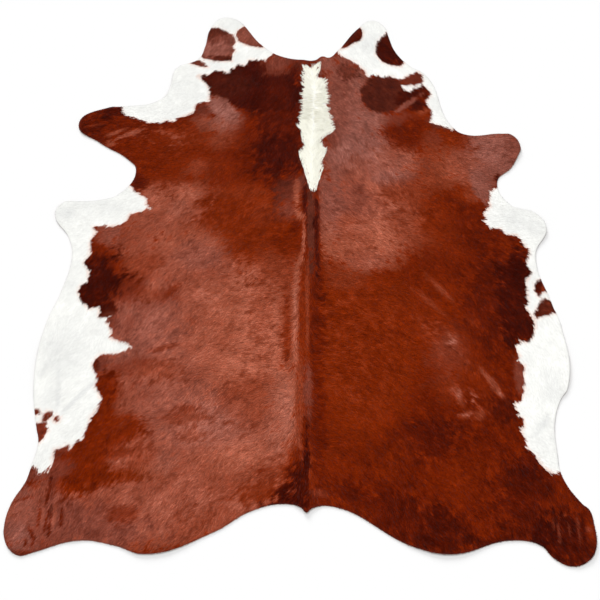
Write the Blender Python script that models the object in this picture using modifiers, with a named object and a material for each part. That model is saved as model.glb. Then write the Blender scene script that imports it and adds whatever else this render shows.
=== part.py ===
# A cowhide rug: one tanned hide with its coat on, lying hair side up on the floor.
# Metres, +Z up. The neck points along +Y and the tail along -Y.
# The origin is on the floor, under the middle of the hide.

import math

import bpy
import numpy as np
from mathutils import Vector
from mathutils.geometry import delaunay_2d_cdt

OBJECT_NAME = "cowhide_rug"

# Driving dimensions
HIDE_LENGTH = 2.28            # neck flaps to hind shanks
HIDE_WIDTH = 1.968            # across the hind shanks
SHEET_THICKNESS = 0.0045      # 2 mm of leather, and the short coat that lies flat on it

# How finely the sheet is divided
EDGE_STEP = 0.024             # longest run between two points of the cut edge
EDGE_TURN = math.radians(12)  # or the most that the edge turns between them
EDGE_FINENESS = 24            # points of the smooth edge curve between two landmarks
FIELD_STEP = 0.048            # spacing of the points in the open field
FIELD_MARGIN = 0.024          # which keep this far from the cut edge and from the folds' points
FOLD_STEP = 0.034             # longest spacing of the points along a fold
FOLD_MARGIN = 0.010           # a fold's points keep this far inside the cut edge
FOLD_LANES = (-1.0, -0.5, 0.0, 0.5, 1.0)  # rows of points across a fold, in half widths
LANE_CLEARANCE = 1 / 3        # of a half width, from a point of one fold to another fold's
SAME_POINT = 1e-6             # points of the sheet nearer than this are one

COAT_COLOUR = (0.150, 0.030, 0.009, 1.0)
COAT_ROUGHNESS = 0.62

# The cut edge, a row for each stretch of one side from the neck to the tail.
# Columns: the stretch, then its landmarks as (across, along), joined by one smooth curve.
NECK_NOTCH = (0.092, 0.938)
TAIL_ROOT = (0.021, -0.964)

LEFT_EDGE = (
    ("neck notch", ((0.063, 0.917), (0.009, 0.922), (-0.032, 0.925))),
    ("inside of the neck flap", ((-0.118, 0.959), (-0.155, 0.992))),
    ("end of the neck flap", ((-0.314, 1.140), (-0.374, 1.082))),
    ("outside of the neck flap", ((-0.395, 0.989), (-0.418, 0.927))),
    ("shoulder step", ((-0.510, 0.876), (-0.524, 0.825), (-0.526, 0.795), (-0.559, 0.726))),
    ("top of the fore shank", ((-0.723, 0.686), (-0.767, 0.684))),
    ("end of the fore shank", ((-0.885, 0.599),)),
    ("under the fore shank", ((-0.793, 0.511), (-0.676, 0.433))),
    ("armpit", ((-0.642, 0.387), (-0.703, 0.274))),
    ("top of the elbow flap", ((-0.771, 0.249), (-0.863, 0.242), (-0.909, 0.238))),
    ("end of the elbow flap", ((-0.937, 0.191), (-0.875, 0.082))),
    ("girth", ((-0.856, 0.012),)),
    ("belly", ((-0.885, -0.152), (-0.924, -0.269), (-0.943, -0.507), (-0.916, -0.666))),
    ("flank", ((-0.903, -0.720), (-0.920, -0.812), (-0.930, -0.853))),
    ("outside of the hind shank", ((-0.972, -0.934), (-0.985, -1.010), (-0.979, -1.052))),
    ("end of the hind shank", ((-0.952, -1.092), (-0.921, -1.106), (-0.890, -1.098))),
    ("inside of the hind shank", ((-0.731, -1.056), (-0.611, -1.073))),
    ("rump lobe", ((-0.513, -1.101), (-0.288, -1.029))),
    ("beside the tail", ((-0.163, -0.958), (-0.056, -0.934), (0.004, -0.947))),
)

RIGHT_EDGE = (
    ("neck notch", ((0.121, 0.932), (0.153, 0.962))),
    ("inside of the neck flap", ((0.245, 1.082),)),
    ("end of the neck flap", ((0.305, 1.123), (0.359, 1.082), (0.368, 1.049))),
    ("outside of the neck flap", ((0.396, 0.962), (0.451, 0.890))),
    ("shoulder step", ((0.517, 0.841), (0.610, 0.586))),
    ("top of the fore shank", ((0.654, 0.553), (0.807, 0.555), (0.842, 0.550))),
    ("end of the fore shank", ((0.873, 0.485), (0.861, 0.454), (0.828, 0.395))),
    ("armpit", ((0.768, 0.331), (0.809, 0.229))),
    ("end of the elbow flap", ((0.902, 0.189), (0.937, 0.128))),
    ("girth", ((0.886, 0.013),)),
    ("belly", ((0.926, -0.193), (0.950, -0.279), (0.946, -0.522), (0.918, -0.563))),
    ("flank", ((0.888, -0.648), (0.885, -0.758), (0.890, -0.829))),
    ("outside of the hind shank", ((0.951, -0.934), (0.971, -0.952), (0.981, -1.006))),
    ("end of the hind shank", ((0.977, -1.084), (0.951, -1.121), (0.893, -1.141), (0.834, -1.113))),
    ("inside of the hind shank", ((0.799, -1.074), (0.704, -1.056))),
    ("rump lobe", ((0.499, -1.102), (0.386, -1.081))),
    ("beside the tail", ((0.099, -0.941), (0.038, -0.951))),
)

# Soft folds. Columns: name, crest as (across, along) points, height, half width.
FOLDS = (
    ("neck crest", ((0.078, 0.900), (0.062, 0.700), (0.055, 0.500), (0.050, 0.320)), 0.0055, 0.050),
    ("withers", ((0.050, 0.320), (0.038, 0.200), (0.032, 0.060)), 0.0085, 0.042),
    ("back", ((0.032, 0.060), (0.020, -0.120), (0.008, -0.300)), 0.0100, 0.040),
    ("loin", ((0.008, -0.300), (0.004, -0.480), (0.008, -0.620)), 0.0080, 0.044),
    ("rump", ((0.008, -0.620), (0.018, -0.780), (0.021, -0.950)), 0.0065, 0.038),
    ("beside the back", ((-0.098, -0.120), (-0.095, -0.300), (-0.100, -0.460)), 0.0030, 0.055),
    ("above the tail", ((0.186, -0.660), (0.184, -0.780)), 0.0025, 0.022),
    ("left fore shank, top", ((-0.855, 0.604), (-0.790, 0.592)), 0.0030, 0.016),
    ("left fore shank, middle", ((-0.770, 0.583), (-0.716, 0.530)), 0.0035, 0.018),
    ("left fore shank, under", ((-0.775, 0.528), (-0.680, 0.504)), 0.0030, 0.016),
    ("right shoulder", ((0.405, 0.737), (0.475, 0.670)), 0.0030, 0.020),
    ("left hind shank, broad", ((-0.766, -0.930), (-0.757, -1.040)), 0.0035, 0.028),
    ("left hind shank, first", ((-0.822, -0.900), (-0.812, -1.030)), 0.0030, 0.012),
    ("left hind shank, second", ((-0.851, -0.870), (-0.838, -1.040)), 0.0040, 0.011),
    ("left hind shank, third", ((-0.874, -0.930), (-0.862, -1.045)), 0.0035, 0.010),
    ("left hind shank, toe", ((-0.912, -0.990), (-0.889, -1.065)), 0.0035, 0.013),
    ("right hind shank, broad", ((0.785, -0.950), (0.780, -1.050)), 0.0030, 0.022),
    ("right hind shank, first", ((0.833, -0.980), (0.826, -1.070)), 0.0040, 0.012),
    ("right hind shank, second", ((0.860, -0.970), (0.851, -1.085)), 0.0035, 0.010),
    ("right hind shank, third", ((0.888, -0.970), (0.877, -1.095)), 0.0035, 0.011),
    ("right hind shank, toe", ((0.920, -0.975), (0.911, -1.095)), 0.0030, 0.012),
)

# Places where the hide stands a little off the floor.
# Columns: name, centre as (across, along), height, radius.
SWELLS = (
    ("left neck flap", (-0.325, 1.090), 0.0040, 0.130),
    ("right neck flap", (0.315, 1.075), 0.0045, 0.120),
    ("left shoulder step", (-0.545, 0.780), 0.0030, 0.090),
    ("left fore shank", (-0.870, 0.600), 0.0045, 0.100),
    ("right fore shank", (0.850, 0.480), 0.0055, 0.110),
    ("left elbow flap", (-0.920, 0.205), 0.0045, 0.110),
    ("right elbow flap", (0.915, 0.140), 0.0060, 0.120),
    ("left belly", (-0.935, -0.430), 0.0050, 0.170),
    ("right belly", (0.950, -0.440), 0.0065, 0.170),
    ("left flank", (-0.905, -0.760), 0.0030, 0.090),
    ("left hind shank", (-0.965, -1.020), 0.0050, 0.120),
    ("right hind shank", (0.955, -1.060), 0.0055, 0.120),
    ("left rump lobe", (-0.470, -1.090), 0.0040, 0.190),
    ("right rump lobe", (0.470, -1.095), 0.0045, 0.190),
    ("left shoulder", (-0.330, 0.330), 0.0025, 0.210),
    ("right shoulder", (0.420, 0.300), 0.0030, 0.200),
    ("left thigh", (-0.560, -0.720), 0.0030, 0.230),
    ("right thigh", (0.600, -0.640), 0.0025, 0.220),
)


def clear_scene():
    for old in list(bpy.data.objects):
        bpy.data.objects.remove(old, do_unlink=True)


def collection(name):
    group = bpy.data.collections.new(name)
    bpy.context.scene.collection.children.link(group)
    return group


def coat_material():
    material = bpy.data.materials.new("coat")
    material.use_nodes = True
    shader = material.node_tree.nodes["Principled BSDF"]
    shader.inputs["Base Color"].default_value = COAT_COLOUR
    shader.inputs["Roughness"].default_value = COAT_ROUGHNESS
    shader.inputs["Metallic"].default_value = 0.0
    return material


def landmarks():
    """The landmarks in order round the hide, from the neck down the left side and back up."""
    left = [place for _, places in LEFT_EDGE for place in places]
    right = [place for _, places in RIGHT_EDGE for place in places]
    return [NECK_NOTCH, *left, TAIL_ROOT, *reversed(right)]


def smooth_curve(places):
    """Points of the closed Bezier curve that runs smoothly through the places."""
    curve = bpy.data.curves.new("cut_edge", "CURVE")
    curve.dimensions = "2D"
    curve.fill_mode = "NONE"
    curve.resolution_u = EDGE_FINENESS
    spline = curve.splines.new("BEZIER")
    spline.bezier_points.add(len(places) - 1)
    for point, place in zip(spline.bezier_points, places):
        point.co = (*place, 0.0)
        point.handle_left_type = "AUTO"
        point.handle_right_type = "AUTO"
    spline.use_cyclic_u = True
    guide = bpy.data.objects.new("cut_edge", curve)
    bpy.context.scene.collection.objects.link(guide)
    evaluated = guide.evaluated_get(bpy.context.evaluated_depsgraph_get())
    outline = bpy.data.meshes.new_from_object(evaluated)
    points = np.array([vertex.co.xy for vertex in outline.vertices])
    bpy.data.objects.remove(guide, do_unlink=True)
    bpy.data.curves.remove(curve)
    bpy.data.meshes.remove(outline)
    return points


def thin_out(points):
    """Keeps a point wherever the edge has run a step, or turned, since the last one kept."""
    kept = [points[0]]
    run = 0.0
    turn = 0.0
    for before, here, after in zip(points, points[1:], points[2:]):
        into = here - before
        out = after - here
        run += math.hypot(*into)
        turn += abs(math.atan2(into[0] * out[1] - into[1] * out[0], into @ out))
        if run + math.hypot(*out) > EDGE_STEP or turn > EDGE_TURN:
            kept.append(here)
            run = 0.0
            turn = 0.0
    return np.array(kept)


def cut_edge():
    """The cut edge brought to the hide's length and width, and how far its middle moved."""
    points = smooth_curve(landmarks())
    low, high = points.min(axis=0), points.max(axis=0)
    middle = (low + high) / 2
    stretch = np.array((HIDE_WIDTH, HIDE_LENGTH)) / (high - low)
    return thin_out((points - middle) * stretch), middle


def distance_to_path(points, path, closed=False):
    """The distance in plan from each point to a path of straight runs."""
    ends = list(zip(path, path[1:]))
    if closed:
        ends.append((path[-1], path[0]))
    nearest = np.full(len(points), np.inf)
    for start, end in ends:
        start, run = np.array(start), np.subtract(end, start)
        share = np.clip((points - start) @ run / (run @ run), 0.0, 1.0)
        gap = np.linalg.norm(points - start - share[:, None] * run, axis=1)
        nearest = np.minimum(nearest, gap)
    return nearest


def distance_to_points(points, others):
    """The distance from each point to the nearest of the others."""
    gaps = np.linalg.norm(points[:, None] - others[None], axis=2)
    return gaps.min(axis=1, initial=np.inf)


def soft_hump(distance, reach):
    """1 on the crest, falling softly to 0 at the reach."""
    return 0.5 + 0.5 * np.cos(np.pi * np.clip(distance / reach, 0.0, 1.0))


def relief(points, middle):
    """Height of the underside over the floor: the highest fold there, on top of the swells."""
    places = points + middle
    folds = np.zeros(len(places))
    for _, crest, height, half_width in FOLDS:
        folds = np.maximum(folds, height * soft_hump(distance_to_path(places, crest), half_width))
    swells = np.zeros(len(places))
    for _, centre, height, radius in SWELLS:
        gap = np.linalg.norm(places - np.array(centre), axis=1)
        swells = np.maximum(swells, height * soft_hump(gap, radius))
    return folds + swells


def fold_points(crest, half_width):
    """Rows of points along a fold, on its crest, its flanks and its feet."""
    rows = []
    step = min(FOLD_STEP, 2 * half_width)
    for start, end in zip(crest, crest[1:]):
        start, run = np.array(start), np.subtract(end, start)
        length = math.hypot(*run)
        side = np.array((-run[1], run[0])) / length
        count = max(1, round(length / step))
        for share in np.linspace(0.0, 1.0, count, endpoint=False):
            rows += [start + share * run + lane * half_width * side for lane in FOLD_LANES]
    rows += [np.array(crest[-1]) + lane * half_width * side for lane in FOLD_LANES]
    return np.array(rows)


def field_points(edge):
    """A staggered field of points over the hide's rectangle."""
    low, high = edge.min(axis=0), edge.max(axis=0)
    row_gap = FIELD_STEP * math.sqrt(3) / 2
    rows = []
    for number, along in enumerate(np.arange(low[1], high[1], row_gap)):
        shift = FIELD_STEP / 2 * (number % 2)
        rows += [(across, along) for across in np.arange(low[0] + shift, high[0], FIELD_STEP)]
    return np.array(rows)


def sheet_points(edge, middle):
    """The points inside the edge: the folds' own rows, then the open field around them."""
    kept = np.empty((0, 2))
    for _, crest, _, half_width in FOLDS:
        rows = fold_points(crest, half_width) - middle
        rows = rows[distance_to_path(rows, edge, closed=True) > FOLD_MARGIN]
        rows = rows[distance_to_points(rows, kept) > half_width * LANE_CLEARANCE]
        kept = np.vstack((kept, rows))
    field = field_points(edge)
    field = field[distance_to_path(field, edge, closed=True) > FIELD_MARGIN]
    return np.vstack((kept, field[distance_to_points(field, kept) > FIELD_MARGIN]))


def lay_hide(group):
    """The hide: a sheet cut to its edge, raised by its folds, with Solidify for its thickness."""
    edge, middle = cut_edge()
    points = np.vstack((edge, sheet_points(edge, middle)))
    ring = list(range(len(edge)))
    inside_constraints = 1
    corners, _, faces, *_ = delaunay_2d_cdt(
        [Vector(point) for point in points], [], [ring], inside_constraints, SAME_POINT)
    used = sorted({corner for face in faces for corner in face})
    number = {corner: place for place, corner in enumerate(used)}
    flat = np.array([corners[corner] for corner in used])
    heights = relief(flat, middle)
    mesh = bpy.data.meshes.new("hide")
    mesh.from_pydata(
        [(*place, height) for place, height in zip(flat.tolist(), heights.tolist())],
        [],
        [[number[corner] for corner in face] for face in faces],
    )
    mesh.materials.append(coat_material())
    hide = bpy.data.objects.new("hide", mesh)
    group.objects.link(hide)
    thickness = hide.modifiers.new("thickness", "SOLIDIFY")
    thickness.thickness = SHEET_THICKNESS
    thickness.offset = 1.0
    return hide


clear_scene()
lay_hide(collection(OBJECT_NAME))
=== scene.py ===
# A cowhide rug: the leather sheet, its short coat of brown and white hair, and the white mane.
import math

import bmesh
import bpy
import numpy as np
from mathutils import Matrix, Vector
from mathutils.bvhtree import BVHTree
from mathutils.geometry import delaunay_2d_cdt


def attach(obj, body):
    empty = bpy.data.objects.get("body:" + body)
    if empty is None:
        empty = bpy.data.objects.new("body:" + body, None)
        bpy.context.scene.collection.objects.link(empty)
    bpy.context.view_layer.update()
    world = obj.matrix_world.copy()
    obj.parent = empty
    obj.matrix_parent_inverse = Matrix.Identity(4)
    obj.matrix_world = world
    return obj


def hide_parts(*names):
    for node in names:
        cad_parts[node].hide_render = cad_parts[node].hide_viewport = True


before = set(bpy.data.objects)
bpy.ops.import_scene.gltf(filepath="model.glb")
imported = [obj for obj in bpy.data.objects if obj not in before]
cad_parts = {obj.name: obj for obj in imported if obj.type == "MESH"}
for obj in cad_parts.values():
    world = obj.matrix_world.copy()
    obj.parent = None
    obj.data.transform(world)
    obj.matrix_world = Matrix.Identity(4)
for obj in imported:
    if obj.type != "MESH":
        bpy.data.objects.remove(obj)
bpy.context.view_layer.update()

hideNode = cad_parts["hide"]


def outline(*numbers):  # x, y, x, y and so on, in millimetres on the floor plan, as places in metres
    return np.array(numbers).reshape(-1, 2) / 1000


# Where brown meets white, going round the brown body of the hide.
bodyEdges = (
    outline(  # left of the neck, down to the fore shank
        -115, 940, -147, 917, -213, 919, -210, 893, -255, 894, -282, 869, -284, 848, -316, 864, -349, 862,
        -368, 845, -418, 841, -379, 799, -364, 760, -367, 711, -392, 700, -418, 698, -423, 662, -466, 639,
        -486, 631, -496, 613, -537, 617, -557, 603, -599, 605, -636, 616, -667, 628, -707, 637, -719, 681),
    outline(  # left flank
        -663, 319, -628, 283, -587, 255, -593, 232, -568, 217, -612, 196, -651, 186, -657, 160, -681, 140,
        -723, 134, -783, 132, -773, 109, -786, 85, -791, 56, -786, 29, -788, 13, -807, -20, -788, -49,
        -784, -72, -787, -106, -812, -119, -818, -146, -800, -176, -772, -210, -733, -198, -734, -243,
        -690, -239, -702, -265, -684, -295, -685, -325, -655, -336, -627, -340, -607, -360, -629, -380,
        -660, -389, -710, -392, -729, -406, -740, -429, -730, -456, -715, -477, -723, -507, -710, -536,
        -694, -563, -705, -593, -729, -628, -738, -671, -748, -709, -773, -720, -789, -745, -793, -729,
        -818, -737, -843, -745, -846, -766, -843, -789, -858, -825, -878, -829, -898, -836, -902, -808,
        -918, -812),
    outline(  # right flank, upwards
        881, -824, 870, -836, 862, -828, 826, -800, 803, -764, 781, -733, 776, -709, 768, -669, 779, -663,
        781, -633, 765, -624, 750, -578, 779, -565, 791, -531, 794, -503, 794, -473, 802, -435, 776, -416,
        789, -395, 772, -361, 793, -347, 791, -330, 814, -342, 839, -327, 855, -286, 855, -254, 840, -229,
        825, -193, 838, -187, 838, -142, 837, -105, 861, -62, 845, -36, 851, -4, 861, 29, 837, 67, 819, 98,
        781, 94, 761, 123, 725, 120, 698, 159, 707, 168, 706, 200, 732, 221, 730, 251, 734, 293, 766, 308),
    outline(  # right of the neck, upwards
        609, 573, 588, 581, 549, 596, 519, 609, 527, 647, 521, 678, 507, 708, 530, 745, 522, 769, 504, 790,
        462, 770, 441, 755, 411, 782, 413, 792, 471, 794, 502, 812, 500, 844, 487, 861, 455, 845, 411, 816,
        367, 838, 339, 825, 324, 837, 277, 833, 267, 865, 231, 903, 179, 934, 156, 964),
)
pastTheRim = (  # what joins those edges, outside the hide
    outline(-740, 780, -1000, 750, -1000, 450, -750, 360),  # past the left fore shank
    outline(-1100, -830, -1100, -1250, 1100, -1250, 1100, -800),  # past the hind shanks
    outline(830, 240, 1000, 300, 1000, 700, 630, 650),  # past the right fore shank
    outline(160, 1000, 20, 1020, -100, 1000),  # past the neck
)
brownSpots = (  # on the white
    outline(  # left neck flap, large
        -382, 1087, -342, 1083, -314, 1068, -296, 1054, -283, 1052, -266, 1014, -280, 987, -269, 974,
        -283, 948, -281, 917, -322, 915, -351, 918, -393, 927, -416, 943, -404, 995),
    outline(  # left neck flap, at the rim
        -225, 1103, -262, 1070, -267, 1049, -255, 1019, -222, 998, -149, 982, -183, 1042),
    outline(  # left neck flap, sliver
        -454, 904, -434, 916, -421, 918, -404, 912, -379, 883, -403, 886, -429, 895),
    outline(  # right neck flap, at the rim
        235, 1092, 256, 1086, 263, 1063, 262, 1042, 252, 1022, 220, 1006, 195, 986, 170, 974, 194, 1036),
    outline(  # right neck flap, outer
        366, 1062, 334, 1023, 318, 989, 317, 948, 340, 913, 373, 895, 414, 888, 438, 914, 413, 974,
        394, 1026, 379, 1071),
    outline(-938, -600, -912, -599, -909, -609, -917, -619, -933, -620),  # left edge, speck
    outline(  # left edge, second speck
        -882, -605, -868, -607, -866, -620, -878, -637, -890, -645, -899, -643, -897, -622),
    outline(-857, -627, -848, -623, -838, -628, -838, -640, -846, -645, -857, -640),  # left edge, third speck
    outline(  # left edge, patch
        -929, -653, -902, -646, -882, -646, -883, -661, -873, -677, -883, -689, -886, -704, -902, -722,
        -911, -724),
    outline(  # right edge, upper
        899, -87, 881, -100, 871, -118, 868, -136, 880, -161, 893, -145, 903, -141, 924, -150, 915, -101),
    outline(  # right edge, lower
        904, -169, 888, -181, 871, -207, 857, -233, 865, -249, 886, -239, 908, -235, 926, -225, 938, -231,
        947, -211, 935, -189, 922, -180),
)
bodyOutline = np.vstack([part for pair in zip(bodyEdges, pastTheRim) for part in pair])
blazeOutline = outline(  # the white of the mane, down its left side and back up its right
    5, 912, 13, 881, 7, 851, 3, 820, 7, 785, -3, 750, -1, 711, -3, 672, -7, 642, -15, 599, -1, 570, 5, 537,
    13, 499, -15, 464, 5, 424, 15, 387, 24, 351, 32, 314, 36, 292, 51, 283, 67, 289, 73, 323, 83, 360,
    97, 392, 88, 429, 106, 457, 122, 487, 88, 523, 103, 544, 137, 561, 147, 584, 130, 642, 124, 696,
    127, 745, 117, 780, 118, 825, 79, 846, 86, 881, 86, 912, 67, 907, 53, 899, 34, 891)
manePart = outline(51, 922, 62, 760, 56, 672, 55, 584, 47, 480, 44, 387, 51, 296)  # where the mane parts

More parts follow.
